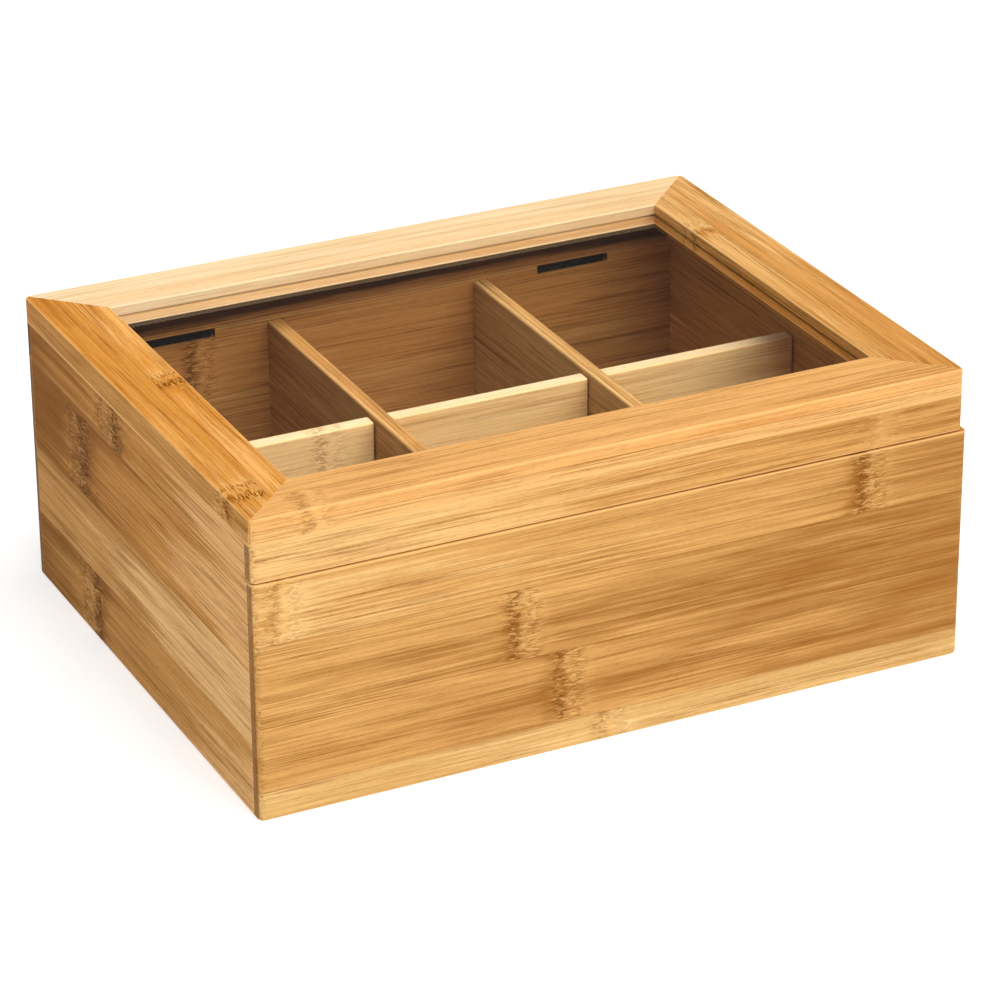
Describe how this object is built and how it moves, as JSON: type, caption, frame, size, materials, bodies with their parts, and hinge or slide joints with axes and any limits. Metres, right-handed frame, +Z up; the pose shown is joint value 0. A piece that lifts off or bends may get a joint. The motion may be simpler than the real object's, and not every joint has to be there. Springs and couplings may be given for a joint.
{
  "type": "tea bag organizer box",
  "caption": "Bamboo tea bag organizer box with a divided base and a hinged lid framing a glass pane.",
  "frame": {"origin": "middle of the base's underside, where the box rests", "axes": "+X to the box's right, +Y to its back where the hinges are, +Z up"},
  "size_m": [0.235, 0.1878, 0.0963],
  "materials": {
    "bamboo_golden": "satin lacquered laminated bamboo",
    "bamboo_brown": "satin lacquered laminated bamboo",
    "bamboo_pale": "satin lacquered laminated bamboo",
    "bamboo_inner": "satin lacquered laminated bamboo",
    "clear_glass": "clear polished",
    "black_metal": "black, satin",
    "zinc": "zinc plated"
  },
  "bodies": {
    "base": {"base_front_wall": "bamboo_golden", "base_back_wall": "bamboo_golden", "base_left_wall": "bamboo_brown", "base_right_wall": "bamboo_brown", "bottom_panel": "bamboo_inner", "partition_left": "bamboo_inner", "partition_right": "bamboo_inner", "cross_divider_left": "bamboo_pale", "cross_divider_middle": "bamboo_pale", "cross_divider_right": "bamboo_pale", "hinge_left_base_leaf": "black_metal", "hinge_right_base_leaf": "black_metal", "hinge_left_pin": "black_metal", "hinge_right_pin": "black_metal", "base_leaf_screws": "zinc"},
    "lid": {"lid_rim_front": "bamboo_pale", "lid_rim_back": "bamboo_pale", "lid_rim_left": "bamboo_brown", "lid_rim_right": "bamboo_brown", "lid_frame_front": "bamboo_golden", "lid_frame_back": "bamboo_pale", "lid_frame_left": "bamboo_golden", "lid_frame_right": "bamboo_golden", "glass_pane": "clear_glass", "hinge_left_lid_leaf": "black_metal", "hinge_right_lid_leaf": "black_metal", "lid_leaf_screws": "zinc"}
  },
  "joints": [
    {"name": "lid_hinge", "type": "hinge", "parent": "base", "child": "lid", "pos_m": [0, 0.0929, 0.0747], "axis": [-1, 0, 0], "range_deg": [0, 100]}
  ]
}
